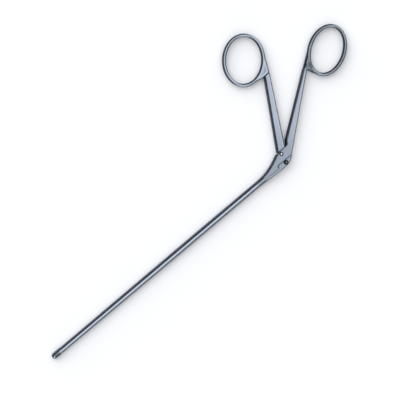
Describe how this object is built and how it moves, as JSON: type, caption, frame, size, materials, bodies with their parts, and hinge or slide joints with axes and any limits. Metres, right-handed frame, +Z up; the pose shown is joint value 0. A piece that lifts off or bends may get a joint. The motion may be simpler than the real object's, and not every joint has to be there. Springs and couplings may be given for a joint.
{
  "type": "alligator cup forceps",
  "caption": "Long ring-handled surgical forceps: a moving handle drives a slide bar that opens a small hinged cup jaw at the tip.",
  "frame": {"origin": "on the handles' pivot axis, on the flat lower face of the joint block that the forceps lie on", "axes": "+X along the shaft to the cups, +Y away from the handles, +Z up from the surface that the forceps lie on"},
  "size_m": [0.2842, 0.0873, 0.005],
  "materials": {
    "satin_steel": "satin, softly brushed",
    "polished_steel": "polished",
    "pin_steel": "turned, polished end"
  },
  "bodies": {
    "frame": {"rear_handle": "satin_steel", "rear_ring": "satin_steel", "fixed_bar": "satin_steel", "fixed_jaw": "polished_steel", "pivot_screw": "pin_steel", "jaw_pivot_pin": "pin_steel"},
    "handle": {"front_handle": "satin_steel", "front_ring": "satin_steel", "drive_pin": "pin_steel"},
    "slide": {"slide_bar": "satin_steel"},
    "jaw": {"moving_jaw": "polished_steel", "jaw_link_pin": "pin_steel"}
  },
  "joints": [
    {"name": "handle_pivot", "type": "hinge", "parent": "frame", "child": "handle", "pos_m": [0, 0, 0.0025], "axis": [0, 0, 1], "range_deg": [0, 13.5]},
    {"name": "slide_travel", "type": "slide", "parent": "frame", "child": "slide", "axis": [1, 0, 0], "range_m": [-0.0015, 0]},
    {"name": "jaw_hinge", "type": "hinge", "parent": "frame", "child": "jaw", "pos_m": [0.1922, 0.00485, 0.0025], "axis": [0, 0, 1], "range_deg": [0, 60]}
  ],
  "couplings": [
    {"joint": "slide_travel", "follows": "handle_pivot", "m_per_rad": -0.0063662},
    {"joint": "jaw_hinge", "follows": "handle_pivot", "ratio": 4.4444}
  ]
}
